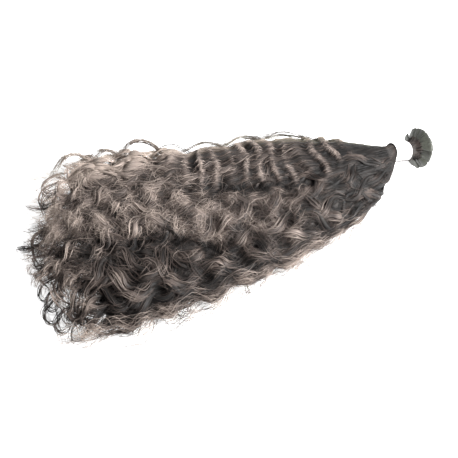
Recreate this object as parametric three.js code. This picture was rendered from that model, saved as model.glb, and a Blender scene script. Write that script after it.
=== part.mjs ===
// A hair extension bundle lying on a surface: a length of loose wavy hair, a wound band that ties its
// neck, and a rosette of flat bonded tips beyond the band.
// Millimetres, +Z up. The hair runs from its loose ends at -X to the tips at +X. +Y is the far side.
import * as THREE from 'three';

// Driving dimensions, in millimetres, with angles in degrees
const HAIR_LENGTH = 375;
const NECK_HEIGHT = 32;
const NECK_DROOP = 24;
const NECK_TURN = 8;
const NECK_RADIUS = 8.5;
const GAP = 0.3;
const BAND_LENGTH = 20;
const BAND_WALL = 0.9;
const LAP_WALL = 0.5;
const LAP_ANGLE = 70;

// Outer form of the hair, by distance from the band. near and far are half-widths, top and under are heights,
// and lean tips the section over until it stands square to the drooping neck.
const SECTION_COLUMNS = ['near', 'far', 'top', 'under', 'lean'];
const SECTIONS = [
  // distance, near, far, top, under, lean
  [0, 9.6, 8.5, 40, 22.5, 24],
  [2, 15, 8.9, 40.2, 14, 23],
  [6, 22, 9.8, 40.4, 7.5, 21],
  [13, 28, 14, 41.2, 1.5, 17],
  [24, 37, 22, 43, 0, 10],
  [45, 54, 35, 46, 0, 2],
  [80, 70, 49, 48, 0, 0],
  [122, 83, 61, 47.5, 0, 0],
  [165, 93, 66, 45.5, 0, 0],
  [206, 99, 73, 43, 0, 0],
  [240, 104, 83, 41, 0, 0],
  [292, 107, 91, 36, 0, 0],
  [324, 105, 89, 31, 0, 0],
  [342, 100, 75, 26, 0, 0],
  [358, 89, 60, 19, 0, 0],
  [369, 73, 44, 11, 0, 0],
  [375, 60, 30, 5, 0, 0],
];

// A section is widest at this share of its height, and pressed flat underneath where it lies
const NECK_LEVEL = 0.5;
const LYING_LEVEL = 0.3;
const LYING_PRESS = 1.6;

// Long valleys between the main lobes, from one distance and place across the hair to another
const FOLDS = [
  { from: 74, to: 200, acrossFrom: -18, acrossTo: 7, depth: 5, halfWidth: 11 },
  { from: 155, to: 372, acrossFrom: -68, acrossTo: 9, depth: 7, halfWidth: 13 },
  { from: 284, to: 375, acrossFrom: -80, acrossTo: -40, depth: 4, halfWidth: 8 },
  { from: 292, to: 375, acrossFrom: 56, acrossTo: 26, depth: 4, halfWidth: 8 },
];
const FOLD_RUN_IN = 0.2;
const FOLD_RUN_OUT = 0.1;

// Waves that run across a lobe, each fading out at its reach from the lobe's middle line
const WAVES = [
  { across: -62, reach: 44, wavelength: 38, height: 2.6, slant: 0.5 },
  { across: 0, reach: 36, wavelength: 27, height: 1.4, slant: -0.3 },
  { across: 52, reach: 40, wavelength: 31, height: 1.8, slant: 0.2 },
];
const WAVES_START = 40;
const WAVES_FULL = 120;
const FULL_RELIEF_HEIGHT = 25;

// Waves of the outline, and the rounded locks along the loose ends
const EDGE_WAVES = { wavelength: 41, near: 3.2, far: 2.6, start: 60, full: 140, sharpness: 5 };
const END_LOCKS = { depth: 8, perSide: 2.5, uneven: 5, start: 310 };

// Rings of the loft: how many there are, and how many points each one has
const SHOULDER_END = 42;
const SHOULDER_STEPS = 10;
const BODY_STEPS = 54;
const TOP_STEPS = 26;
const UNDER_STEPS = 12;

// Stems beyond the band's mouth flare, lift a little and close in a low dome
const DOME = [
  // along, radius, lift
  [1, 8.5, 0],
  [4, 8.9, 0.6],
  [8, 9.8, 1.5],
  [10, 9.2, 1.8],
  [11.8, 7.2, 2],
  [13.2, 4.4, 2],
  [13.9, 1.8, 2],
];

// Rings of the rosette. splay is the tips' angle from the neck axis, and radius and along place their roots
// from that axis and from the band's mouth.
const TIP_RINGS = [
  { count: 18, splay: 60, radius: 10.4, along: 10, start: 0 },
  { count: 12, splay: 40, radius: 7.6, along: 13.2, start: 12 },
  { count: 7, splay: 20, radius: 4.4, along: 15.2, start: 5 },
  { count: 3, splay: 6, radius: 1.7, along: 16.2, start: 20 },
];
const ROSETTE_LIFT = 2;
const SPLAY_WOBBLE = { degrees: 3, rate: 2.4 };
const ROLL_WOBBLE = { degrees: 7, rate: 4.1 };

// One tip, from its root in the stems to its rounded end
const TIP_WIDEST = 6.2;
const TIP_SECTIONS = [
  // along, width, thickness
  [0, 2.6, 1.5],
  [3, 3.3, 1.5],
  [5.8, 4.6, 1.7],
  [8, 5.7, 1.7],
  [10.2, TIP_WIDEST, 1.5],
  [11.6, 4.4, 0.9],
];
// A quarter of a tip's section, as shares of its half-width and half-thickness
const TIP_CORNERS = [[1, 0.4], [0.5, 1]];
const TIP_ARCH = 0.5;

const BAND_SIDES = 48;

const HAIR_FINISH = new THREE.MeshStandardMaterial({ color: 0x5c524c, roughness: 0.5, metalness: 0 });
const BAND_FINISH = new THREE.MeshStandardMaterial({ color: 0xf4f2ef, roughness: 0.6, metalness: 0 });
const TIP_FINISH = new THREE.MeshStandardMaterial({ color: 0x5e5d57, roughness: 0.4, metalness: 0 });

const { degToRad, smoothstep, clamp, lerp } = THREE.MathUtils;
const TURN = 2 * Math.PI;

// A closed solid through rings of points. Each ring lists its points in space and its flat outline,
// which goes round anticlockwise as seen from the last ring.
function loft(rings) {
  const size = rings[0].points.length;
  const positions = rings.flatMap((ring) => ring.points.flatMap((point) => point.toArray()));
  const faces = [];
  for (let r = 0; r + 1 < rings.length; r += 1) {
    for (let k = 0; k < size; k += 1) {
      const here = r * size + k;
      const next = r * size + ((k + 1) % size);
      faces.push(here, next, next + size, here, next + size, here + size);
    }
  }
  const lastStart = (rings.length - 1) * size;
  for (const [a, b, c] of THREE.ShapeUtils.triangulateShape(rings[0].outline, [])) {
    faces.push(a, c, b);
  }
  for (const [a, b, c] of THREE.ShapeUtils.triangulateShape(rings.at(-1).outline, [])) {
    faces.push(lastStart + a, lastStart + b, lastStart + c);
  }
  const geometry = new THREE.BufferGeometry();
  geometry.setAttribute('position', new THREE.Float32BufferAttribute(positions, 3));
  geometry.setIndex(faces);
  return geometry.toNonIndexed();
}

const sectionCurve = new THREE.CubicInterpolant(
  SECTIONS.map((row) => row[0]),
  SECTIONS.flatMap((row) => row.slice(1)),
  SECTION_COLUMNS.length,
);

// The section's named sizes at a distance from the band
function sectionAt(distance) {
  const values = sectionCurve.evaluate(distance);
  return Object.fromEntries(SECTION_COLUMNS.map((column, k) => [column, values[k]]));
}

// Depth of the valleys at a place on the hair, each one soft across its width and at both ends
function foldDepth(distance, across) {
  let depth = 0;
  for (const fold of FOLDS) {
    const along = (distance - fold.from) / (fold.to - fold.from);
    const middle = lerp(fold.acrossFrom, fold.acrossTo, clamp(along, 0, 1));
    const ends = smoothstep(along, 0, FOLD_RUN_IN) * (1 - smoothstep(along, 1, 1 + FOLD_RUN_OUT));
    depth += fold.depth * ends * Math.exp(-(((across - middle) / fold.halfWidth) ** 2));
  }
  return depth;
}

// Height of the waves at a place on the hair, growing away from the neck
function waveHeight(distance, across) {
  let height = 0;
  for (const wave of WAVES) {
    const off = (across - wave.across) / wave.reach;
    const angle = TURN * (distance + wave.slant * across) / wave.wavelength;
    height += wave.height * Math.exp(-off * off) * Math.sin(angle);
  }
  return height * smoothstep(distance, WAVES_START, WAVES_FULL);
}

// Directions of a section: square to the hair where it lies, square to the neck at the band
function sectionDirections(leanDegrees) {
  const lean = degToRad(leanDegrees);
  const turn = degToRad(NECK_TURN * leanDegrees / NECK_DROOP);
  const ahead = new THREE.Vector3(Math.cos(turn), Math.sin(turn), 0);
  const up = new THREE.Vector3(0, 0, 1);
  return {
    across: new THREE.Vector3().crossVectors(up, ahead),
    upward: up.clone().multiplyScalar(Math.cos(lean)).addScaledVector(ahead, Math.sin(lean)),
    axis: ahead.clone().multiplyScalar(Math.cos(lean)).addScaledVector(up, -Math.sin(lean)),
  };
}

// Angles round a ring: from the far side over the top to the near side, then back underneath
function ringAngles() {
  const over = Array.from({ length: TOP_STEPS }, (_, k) => Math.PI * k / TOP_STEPS);
  const below = Array.from({ length: UNDER_STEPS }, (_, k) => Math.PI * (1 + k / UNDER_STEPS));
  return [...over, ...below];
}

// One ring of the lying hair, flat underneath, with its folds, waves and the ragged line of its ends
function hairRing(distance) {
  const section = sectionAt(distance);
  const { across, upward } = sectionDirections(section.lean);
  const lying = 1 - section.lean / NECK_DROOP;
  const middle = lerp(section.under, section.top, lerp(NECK_LEVEL, LYING_LEVEL, lying));
  const press = lerp(1, LYING_PRESS, lying);
  const ripple = smoothstep(distance, EDGE_WAVES.start, EDGE_WAVES.full)
    * Math.sin(TURN * distance / EDGE_WAVES.wavelength);
  const ends = smoothstep(distance, END_LOCKS.start, HAIR_LENGTH);
  const reliefShare = lying * Math.min(1, section.top / FULL_RELIEF_HEIGHT);
  const outline = [];
  const points = ringAngles().map((angle) => {
    const side = Math.cos(angle);
    const rise = Math.sin(angle);
    const reach = side > 0 ? section.far : section.near;
    const swell = ripple * (side > 0 ? EDGE_WAVES.far : EDGE_WAVES.near) * side ** EDGE_WAVES.sharpness;
    const offset = reach * side + swell;
    const relief = waveHeight(distance, offset) - foldDepth(distance, offset);
    const climb = rise > 0 ? section.top - middle + relief * reliefShare : (middle - section.under) * press;
    const height = Math.max(middle + climb * rise, section.under);
    const lock = (1 - Math.cos(TURN * END_LOCKS.perSide * side + Math.sin(END_LOCKS.uneven * side))) / 2;
    const point = new THREE.Vector3(-distance + END_LOCKS.depth * ends * lock, 0, NECK_HEIGHT);
    point.addScaledVector(across, offset).addScaledVector(upward, height - NECK_HEIGHT);
    point.z = Math.max(point.z, 0);
    outline.push(new THREE.Vector2(offset, height));
    return point;
  });
  return { points, outline };
}

// One round ring about the neck axis, or lifted off it, at a distance along it from the start of the band
function neckRing(along, radius, lift) {
  const { across, upward, axis } = sectionDirections(NECK_DROOP);
  const outline = ringAngles().map((angle) => new THREE.Vector2(Math.cos(angle), Math.sin(angle)));
  const points = outline.map((unit) => new THREE.Vector3(0, 0, NECK_HEIGHT)
    .addScaledVector(axis, along)
    .addScaledVector(across, radius * unit.x)
    .addScaledVector(upward, lift + radius * unit.y));
  return { points, outline };
}

// The whole length of hair, from its loose ends over the shoulder and through the band to the dome of stems
function hairLength() {
  const rings = [];
  for (let k = 0; k < BODY_STEPS; k += 1) {
    rings.push(hairRing(lerp(HAIR_LENGTH, SHOULDER_END, k / BODY_STEPS)));
  }
  for (let k = 0; k < SHOULDER_STEPS; k += 1) {
    rings.push(hairRing(SHOULDER_END * (1 - k / SHOULDER_STEPS) ** 2));
  }
  rings.push(neckRing(0, NECK_RADIUS, 0));
  for (const [along, radius, lift] of DOME) {
    rings.push(neckRing(BAND_LENGTH + along, radius, lift));
  }
  return loft(rings);
}

function circlePoint(radius, angle) {
  return new THREE.Vector2(radius * Math.cos(angle), radius * Math.sin(angle));
}

// The band's wall in section: a ring with a thicker stretch underneath, where its end laps over its start
function neckBand() {
  const inner = NECK_RADIUS + GAP;
  const outer = inner + BAND_WALL;
  const angles = Array.from({ length: BAND_SIDES }, (_, k) => TURN * k / BAND_SIDES);
  const lap = degToRad(LAP_ANGLE);
  const rim = angles.map((angle) => circlePoint(angle < lap ? outer + LAP_WALL : outer, angle));
  const shape = new THREE.Shape(rim);
  shape.holes.push(new THREE.Path(angles.map((angle) => circlePoint(inner, angle))));
  const geometry = new THREE.ExtrudeGeometry(shape, { depth: BAND_LENGTH, bevelEnabled: false });
  return geometry.rotateY(Math.PI / 2);
}

// A flat bonded tip along +X with its width along Y, arched across its width like a nail
function bondTip() {
  const corners = [
    ...TIP_CORNERS,
    ...TIP_CORNERS.toReversed().map(([y, z]) => [-y, z]),
    ...TIP_CORNERS.map(([y, z]) => [-y, -z]),
    ...TIP_CORNERS.toReversed().map(([y, z]) => [y, -z]),
  ];
  const rings = TIP_SECTIONS.map(([along, width, thickness]) => {
    const arch = TIP_ARCH * width / TIP_WIDEST;
    const outline = corners.map(([y, z]) => new THREE.Vector2(
      y * width / 2,
      z * thickness / 2 + arch * (1 - y * y),
    ));
    return { points: outline.map((corner) => new THREE.Vector3(along, corner.x, corner.y)), outline };
  });
  return loft(rings);
}

// The tips of one ring stand round the neck axis, each turned out by its splay, with small uneven turns
function tipRing(ring, firstNumber) {
  const group = new THREE.Group();
  for (let k = 0; k < ring.count; k += 1) {
    const number = firstNumber + k;
    const spoke = new THREE.Group();
    spoke.rotation.x = degToRad(ring.start + 360 * k / ring.count);
    const tip = new THREE.Mesh(bondTip(), TIP_FINISH);
    tip.name = `bond_tip_${String(number).padStart(2, '0')}`;
    const splay = ring.splay + SPLAY_WOBBLE.degrees * Math.sin(SPLAY_WOBBLE.rate * number);
    const roll = ROLL_WOBBLE.degrees * Math.sin(ROLL_WOBBLE.rate * number);
    tip.position.set(ring.along, 0, ring.radius);
    tip.rotation.set(degToRad(roll), degToRad(-splay), 0, 'YXZ');
    spoke.add(tip);
    group.add(spoke);
  }
  return group;
}

const bundle = new THREE.Group();

const hair = new THREE.Mesh(hairLength(), HAIR_FINISH);
hair.name = 'hair_length';
bundle.add(hair);

// Everything on the neck shares one axis, which droops and turns from the hair's own
const neck = new THREE.Group();
neck.position.z = NECK_HEIGHT;
neck.rotation.set(0, degToRad(NECK_DROOP), degToRad(NECK_TURN), 'ZYX');
bundle.add(neck);

const band = new THREE.Mesh(neckBand(), BAND_FINISH);
band.name = 'neck_band';
band.position.x = GAP;
neck.add(band);

const rosette = new THREE.Group();
rosette.position.set(BAND_LENGTH, 0, ROSETTE_LIFT);
neck.add(rosette);
let tipNumber = 1;
for (const ring of TIP_RINGS) {
  rosette.add(tipRing(ring, tipNumber));
  tipNumber += ring.count;
}

// The part's origin is under the middle of its box
bundle.updateMatrixWorld(true);
const box = new THREE.Box3().setFromObject(bundle);
bundle.position.set(-(box.min.x + box.max.x) / 2, -(box.min.y + box.max.y) / 2, -box.min.z);

export default bundle;
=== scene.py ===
# %% [markdown]
# # A bundle of wavy hair extensions
#
# The real thing is a hank of long wavy hair that lies on a table. A white band holds it at the neck, and
# beyond the band each small lock ends in a flat bonded tip, so the tips fan out like a rosette.
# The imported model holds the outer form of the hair, the band and the tips. This script measures that
# form and lays strands along it, because hair only looks like hair when it is made of strands.

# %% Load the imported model
import math
from types import SimpleNamespace

import bpy
import numpy as np
from mathutils import Matrix, Vector
from mathutils.bvhtree import BVHTree


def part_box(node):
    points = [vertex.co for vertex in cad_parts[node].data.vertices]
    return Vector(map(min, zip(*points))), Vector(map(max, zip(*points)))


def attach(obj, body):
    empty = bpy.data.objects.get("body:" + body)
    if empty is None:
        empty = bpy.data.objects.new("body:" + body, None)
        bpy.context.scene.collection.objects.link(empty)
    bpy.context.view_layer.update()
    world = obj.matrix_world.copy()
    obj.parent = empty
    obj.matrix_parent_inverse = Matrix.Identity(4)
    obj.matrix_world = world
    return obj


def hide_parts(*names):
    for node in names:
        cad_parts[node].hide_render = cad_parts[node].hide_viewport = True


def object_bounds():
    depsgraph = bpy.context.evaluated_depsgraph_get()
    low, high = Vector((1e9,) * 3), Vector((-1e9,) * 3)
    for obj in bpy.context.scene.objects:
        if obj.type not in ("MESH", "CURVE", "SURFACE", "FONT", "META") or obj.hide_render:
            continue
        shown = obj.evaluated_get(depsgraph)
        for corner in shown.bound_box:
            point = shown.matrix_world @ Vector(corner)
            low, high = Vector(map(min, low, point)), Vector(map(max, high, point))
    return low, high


MM = 0.001
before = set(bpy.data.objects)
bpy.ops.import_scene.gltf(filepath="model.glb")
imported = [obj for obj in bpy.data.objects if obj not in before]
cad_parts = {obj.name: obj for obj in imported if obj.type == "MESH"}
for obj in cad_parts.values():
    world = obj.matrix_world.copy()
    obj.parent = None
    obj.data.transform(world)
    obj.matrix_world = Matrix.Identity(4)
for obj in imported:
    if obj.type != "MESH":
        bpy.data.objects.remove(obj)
cad_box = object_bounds()
print("nodes in the packed model:", len(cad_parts))

# %% [markdown]
# ## Table, light and camera
#
# The photograph was taken from above the near side, on a white table that is so bright that its shadows
# nearly vanish. A white floor that glows a little, under a dim white sky, gives that. A lamp from the right
# gives the waves of the hair their light and dark sides, and a broader, weaker one behind lights the far
# edge. A long lens far away keeps the bundle's two edges straight.

# %% Set up the camera
AIM = Vector((-12.7, -12.4, 0)) * MM
AZIMUTH = math.radians(-17)
ELEVATION = math.radians(58)
DISTANCE = 1.3
LENS = 102.2
SENSOR = 36


def toward(azimuth, elevation):
    """Direction from the object to a place round it, with azimuth 0 on the near side."""
    level = math.cos(elevation)
    return Vector((math.sin(azimuth) * level, -math.cos(azimuth) * level, math.sin(elevation)))


bpy.ops.object.select_all(action="DESELECT")
back = toward(AZIMUTH, ELEVATION)
bpy.ops.object.camera_add(location=AIM + back * DISTANCE, rotation=back.to_track_quat("Z", "Y").to_euler())
camera = bpy.context.object
camera.data.lens = LENS
camera.data.sensor_width = SENSOR
bpy.context.scene.camera = camera
bpy.context.scene.view_settings.view_transform = "Standard"
print("camera", [round(value, 3) for value in camera.location])

# %% Set up the light
SKY_STRENGTH = 0.1


def add_lamp(name, azimuth, elevation, distance, size, watts):
    """A square soft lamp that faces the object."""
    back = toward(math.radians(azimuth), math.radians(elevation))
    bpy.ops.object.light_add(type="AREA", location=AIM + back * distance)
    lamp = bpy.context.object
    lamp.name = name
    lamp.rotation_euler = back.to_track_quat("Z", "Y").to_euler()
    lamp.data.size = size
    lamp.data.energy = watts


sky = bpy.data.worlds.new("white_sky")
sky.use_nodes = True
sky.node_tree.nodes["Background"].inputs["Color"].default_value = (1, 1, 1, 1)
sky.node_tree.nodes["Background"].inputs["Strength"].default_value = SKY_STRENGTH
bpy.context.scene.world = sky
add_lamp("key_lamp", azimuth=54, elevation=46, distance=1.4, size=0.3, watts=60)
add_lamp("fill_lamp", azimuth=178, elevation=38, distance=1.6, size=0.9, watts=12)

# %% Set up the table
TABLE_SIZE = 30
TABLE_GLOW = 0.8


def new_finish(name, roughness):
    """A new material with nodes, and its shader."""
    finish = bpy.data.materials.new(name)
    finish.use_nodes = True
    shader = finish.node_tree.nodes["Principled BSDF"]
    shader.inputs["Roughness"].default_value = roughness
    return finish, shader


bpy.ops.mesh.primitive_plane_add(size=TABLE_SIZE)
table_top = bpy.context.object
table_top.name = "table_top"
white_table, table_shader = new_finish("white_table", 0.7)
table_shader.inputs["Base Color"].default_value = (0.8, 0.8, 0.8, 1)
table_shader.inputs["Emission Color"].default_value = (1, 1, 1, 1)
table_shader.inputs["Emission Strength"].default_value = TABLE_GLOW
table_top.data.materials.append(white_table)
print("table:", table_top.name)

# %% [markdown]
# ## Measuring the outer form
#
# Hair flows along the bundle, so every strand is placed by two numbers: its distance from the band, and
# how far across it lies, from 0 on the near edge to 1 on the far edge. To turn the two numbers into a
# point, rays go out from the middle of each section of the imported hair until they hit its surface. Near
# the neck the sections lean with the band and close to a ring, and further out they open to a flat dome.

# %% Find the neck and the band
NECK_TURN = math.radians(8)
NECK_DROOP = math.radians(24)

hair_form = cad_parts["hair_length"]
form_tree = BVHTree.FromPolygons(
    [vertex.co for vertex in hair_form.data.vertices],
    [tuple(face.vertices) for face in hair_form.data.polygons],
)
level = math.cos(NECK_DROOP)
neck_axis = Vector((level * math.cos(NECK_TURN), level * math.sin(NECK_TURN), -math.sin(NECK_DROOP)))
band_reach = [vertex.co.dot(neck_axis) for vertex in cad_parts["neck_band"].data.vertices]
band_length = max(band_reach) - min(band_reach)
band_low, band_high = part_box("neck_band")
neck_start = (band_low + band_high) / 2 - neck_axis * band_length / 2
hair_reach = (neck_start.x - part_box("hair_length")[0].x) / MM
print("band:", round(band_length / MM, 1), "mm long, hair reaches", round(hair_reach, 1), "mm from it")

# %% Measure the hair section by section
STATION_STEP = 2.5
INSIDE_BAND = -7.5
UPRIGHT_FROM = 55
MIDDLE_HEIGHT = 12 * MM
MIDDLE_SHARE = 0.4
OVERHEAD = 0.1
RAY_SPREAD = 172
RAYS = 259
LAST_GAP = 0.5


def ease(value, low, high):
    """0 below low, 1 above high and a smooth step between them."""
    share = np.clip((value - low) / (high - low), 0, 1)
    return share * share * (3 - 2 * share)


def reach(start, direction):
    """How far the hair's surface is from a point, along a direction."""
    distance = form_tree.ray_cast(start, direction)[3]
    return np.nan if distance is None else distance


def section_frame(distance):
    """Middle, side direction and up direction of the section at a distance from the band."""
    opened = float(ease(distance, 0, UPRIGHT_FROM))
    ahead = (neck_axis * (1 - opened) + Vector((1, 0, 0)) * opened).normalized()
    side = Vector((0, 0, 1)).cross(ahead).normalized()
    if distance <= 0:
        return neck_start - neck_axis * distance * MM, side, ahead.cross(side)
    x = neck_start.x - distance * MM
    crown = OVERHEAD - reach(Vector((x, neck_start.y, OVERHEAD)), Vector((0, 0, -1)))
    height = neck_start.z * (1 - opened) + min(MIDDLE_HEIGHT, MIDDLE_SHARE * crown) * opened
    middle = Vector((x, neck_start.y, height))
    middle += side * (reach(middle, side) - reach(middle, -side)) / 2
    return middle, side, ahead.cross(side)


stations = np.arange(INSIDE_BAND, hair_reach - LAST_GAP, STATION_STEP)
ray_angles = np.radians(np.linspace(-RAY_SPREAD, RAY_SPREAD, RAYS))
rings = []
for distance in stations:
    middle, side, up = section_frame(distance)
    rays = [up * math.cos(angle) + side * math.sin(angle) for angle in ray_angles]
    lengths = np.array([reach(middle, ray) for ray in rays])
    known = ~np.isnan(lengths)
    lengths = np.interp(ray_angles, ray_angles[known], lengths[known])
    rings.append(np.array(middle) + np.array(rays) * lengths[:, None])
rings = np.array(rings) / MM
print("sections measured:", len(stations))

# %% [markdown]
# ## From sections to a flow of hair
#
# A section that lies on the table has an underside that nobody sees, so only the arc from one table edge
# over the crown to the other is kept, and it is divided into equal steps. Towards the tail the form closes
# in, but real locks do not: they run on side by side and end one after another. So past the last full
# section the arc keeps its width and only sinks, and each lock is told how far it may run.

# %% Divide every section into equal steps across
ACROSS_STEPS = 161
ARC_SAMPLES = 400
ROUND_NECK = math.radians(166)
UPPER = math.radians(120)
OPENING = (10, 38)
BLUR = 11


def edge_angles(ring, distance):
    """The angles at which a section turns under, on its near and its far side."""
    upper = abs(ray_angles) < UPPER
    near = ray_angles[upper][np.argmin(ring[upper, 1])]
    far = ray_angles[upper][np.argmax(ring[upper, 1])]
    opened = ease(distance, *OPENING)
    return near * opened - ROUND_NECK * (1 - opened), far * opened + ROUND_NECK * (1 - opened)


def even_steps(ring, edge):
    """Points at equal steps along a section, from its near edge to its far edge."""
    angles = np.linspace(edge[0], edge[1], ARC_SAMPLES)
    arc = np.stack([np.interp(angles, ray_angles, ring[:, k]) for k in range(3)], axis=1)
    run = np.concatenate([[0], np.cumsum(np.linalg.norm(np.diff(arc, axis=0), axis=1))])
    steps = np.linspace(0, run[-1], ACROSS_STEPS)
    return np.stack([np.interp(steps, run, arc[:, k]) for k in range(3)], axis=1)


edges = np.array([edge_angles(ring, distance) for ring, distance in zip(rings, stations)])
weights = np.hanning(BLUR) / np.hanning(BLUR).sum()
padded = np.pad(edges, ((BLUR // 2, BLUR // 2), (0, 0)), mode="edge")
edges = np.stack([np.convolve(padded[:, k], weights, mode="valid") for k in range(2)], axis=1)
form = np.array([even_steps(ring, edge) for ring, edge in zip(rings, edges)])
print("points on the form:", form.shape[:2])

# %% Let the flow run on past the last full section
FULL_SECTION = 322
BEYOND = 24
TAIL_HEIGHT = 0.4

full = int(np.argmin(abs(stations - FULL_SECTION)))
crown_heights = form[:, :, 2].max(axis=1)
tail_stations = np.arange(stations[full] + STATION_STEP, hair_reach + BEYOND, STATION_STEP)
tail = np.repeat(form[full][None], len(tail_stations), axis=0)
tail[:, :, 0] -= (tail_stations - stations[full])[:, None]
sink = np.interp(tail_stations, stations, crown_heights) / crown_heights[full]
tail[:, :, 2] *= np.maximum(sink, TAIL_HEIGHT)[:, None]
flow_stations = np.concatenate([stations[: full + 1], tail_stations])
flow = np.concatenate([form[: full + 1], tail])

outward = np.cross(np.gradient(flow, axis=1), np.gradient(flow, axis=0))
outward /= np.linalg.norm(outward, axis=2, keepdims=True)
outward *= np.sign(outward[len(flow) // 2, ACROSS_STEPS // 2, 2])
section_width = np.linalg.norm(np.diff(flow, axis=1), axis=2).sum(axis=1)
print("widest section over its crown:", round(section_width.max()), "mm")

# %% [markdown]
# ## Placing points on the flow
#
# Blender's own curves could follow a surface with a Shrinkwrap modifier, one by one. With several thousand
# strands it is quicker to work on all their points at once as arrays, so this helper takes whole arrays of
# the two numbers and gives back points and outward directions by blending the four nearest measured points.
# A hair that leaves the edge falls to the table.

# %% Look up points on the flow
FALL = 12


def width_at(distance):
    """Length of the section's arc at a distance from the band."""
    return np.interp(distance, flow_stations, section_width)


def on_flow(distance, across):
    """Points on the hair's surface and their outward directions, in millimetres."""
    row = np.clip((distance - flow_stations[0]) / STATION_STEP, 0, len(flow_stations) - 1.001)
    inside = np.clip(across, 0, 1)
    column = inside * (ACROSS_STEPS - 1.001)
    i = row.astype(int)
    j = column.astype(int)
    u = (row - i)[..., None]
    v = (column - j)[..., None]

    def blend(grid):
        first = grid[i, j] * (1 - v) + grid[i, j + 1] * v
        second = grid[i + 1, j] * (1 - v) + grid[i + 1, j + 1] * v
        return first * (1 - u) + second * u

    points = blend(flow)
    spill = (across - inside) * width_at(distance)
    points[..., 1] += spill
    points[..., 2] *= np.exp(-abs(spill) / FALL)
    return points, blend(outward)


test_point, test_out = on_flow(np.array([165.0]), np.array([0.5]))
print("crown of the middle:", test_point.round(1), test_out.round(2))

# %% [markdown]
# ## Nodes of a finish
#
# A finish in Blender is a graph of nodes. Built by hand in the Shader Editor, each node is added, its
# numbers are typed in and its sockets are wired. These helpers do the same three things in one call, so
# that each finish below reads as a short list of what feeds what.


# %% Add and wire nodes
def fill_inputs(finish, node, inputs):
    """Set a node's inputs: the output of another node is wired, and anything else is a fixed value."""
    for socket, value in inputs.items():
        if isinstance(value, bpy.types.NodeSocket):
            finish.node_tree.links.new(value, node.inputs[socket])
        else:
            node.inputs[socket].default_value = value


def add_node(finish, kind, inputs=None, **settings):
    """A new node with its own settings and its inputs."""
    node = finish.node_tree.nodes.new("ShaderNode" + kind)
    for field, value in settings.items():
        setattr(node, field, value)
    fill_inputs(finish, node, inputs or {})
    return node


# %% Add nodes that finishes share
def add_math(finish, operation, *values):
    """The result of a Math node."""
    return add_node(finish, "Math", dict(enumerate(values)), operation=operation).outputs["Value"]


def add_attribute(finish, label, output="Fac"):
    """A value that the mesh itself carries."""
    return add_node(finish, "Attribute", attribute_name=label).outputs[output]


def add_noise(finish, place, scale, **more):
    """Noise at a place."""
    return add_node(finish, "TexNoise", {"Vector": place, "Scale": scale, **more}).outputs["Fac"]


def add_ramp(finish, value, stops):
    """A colour ramp with a stop for each place and colour."""
    ramp = add_node(finish, "ValToRGB", {"Fac": value})
    elements = ramp.color_ramp.elements
    while len(elements) < len(stops):
        elements.new(0.5)
    for element, (place, colour) in zip(elements, stops):
        element.position = place
        element.color = (*colour, 1)
    return ramp.outputs["Color"]


def raise_bump(finish, shader, height, strength, distance):
    """A bump on the shader's surface that follows a height."""
    bump = add_node(finish, "Bump", {"Height": height, "Strength": strength, "Distance": distance})
    fill_inputs(finish, shader, {"Normal": bump.outputs["Normal"]})


# %% [markdown]
# ## The colour of the hair
#
# The hair is a cool dark brown. Its colour changes from strand to strand, and light and shade are painted
# into it too: hair that lies deep or in the trough of a wave is painted darker, and hair on a crest lighter.
# So each strand carries a tone from 0 to 1 in its mesh, and a colour ramp turns the tone into brown. A second
# number, veil, marks the thin far edge, where light comes through the hair; it paints that light
# in as an olive colour. The thick body of a lock has to look like many hairs, so there a noise that is drawn
# out along the lock makes a grain in the colour and in the bump.

# %% Make the hair finishes
HAIR_RAMP = (
    (0.0, (0.003, 0.0024, 0.0022)),
    (0.25, (0.020, 0.0155, 0.0135)),
    (0.5, (0.094, 0.073, 0.064)),
    (1.0, (0.46, 0.38, 0.33)),
)
# Light that comes through the thin far edge, painted in as an olive colour.
PAINTED_BACKLIGHT_OLIVE = (0.30, 0.29, 0.19, 1)
HAIR_SHINE = 0.28
GRAIN_SCALE = 2.4
GRAIN_BUMP = 0.6 * MM


def hair_finish(name, roughness, grain_depth=0.0):
    """Brown hair whose tone, with its painted light and shade, and painted backlight come from each strand,
    with drawn grain where a lock is one body.
    """
    finish, shader = new_finish(name, roughness)
    tone = add_attribute(finish, "tone")
    if grain_depth:
        noise = add_noise(finish, add_attribute(finish, "grain", "Vector"), GRAIN_SCALE, Detail=4.0)
        grain = add_math(finish, "MULTIPLY_ADD", noise, grain_depth, -grain_depth / 2)
        tone = add_math(finish, "ADD", grain, tone)
        raise_bump(finish, shader, noise, strength=0.8, distance=GRAIN_BUMP)
    brown = add_ramp(finish, tone, HAIR_RAMP)
    veil = add_attribute(finish, "veil")
    mix = add_node(finish, "Mix", {"Factor": veil, "A": brown, "B": PAINTED_BACKLIGHT_OLIVE}, data_type="RGBA")
    fill_inputs(finish, shader, {"Base Color": mix.outputs["Result"], "Specular IOR Level": HAIR_SHINE})
    return finish


strand_finish = hair_finish("brown_hair", 0.45)
body_finish = hair_finish("massed_hair", 0.55, grain_depth=0.9)
print("hair finishes:", strand_finish.name, body_finish.name)

# %% [markdown]
# ## A strand as a mesh
#
# A strand is a closed tube with three sides, flatter than it is wide, that tapers to its tip. Three sides
# are enough at this width, and they keep some thousand strands within a sensible number of triangles. The
# body of a lock is the same kind of tube with eight sides. All tubes of a set are joined in one mesh, made
# straight from arrays. Every strand lies in a strip of the UV map, so the tones survive an export. A set
# that has more strands than there are strips lets some of them share one.

# %% Work out the corners of tubes
TINY = 1e-9
LOWEST = 0.05


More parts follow.
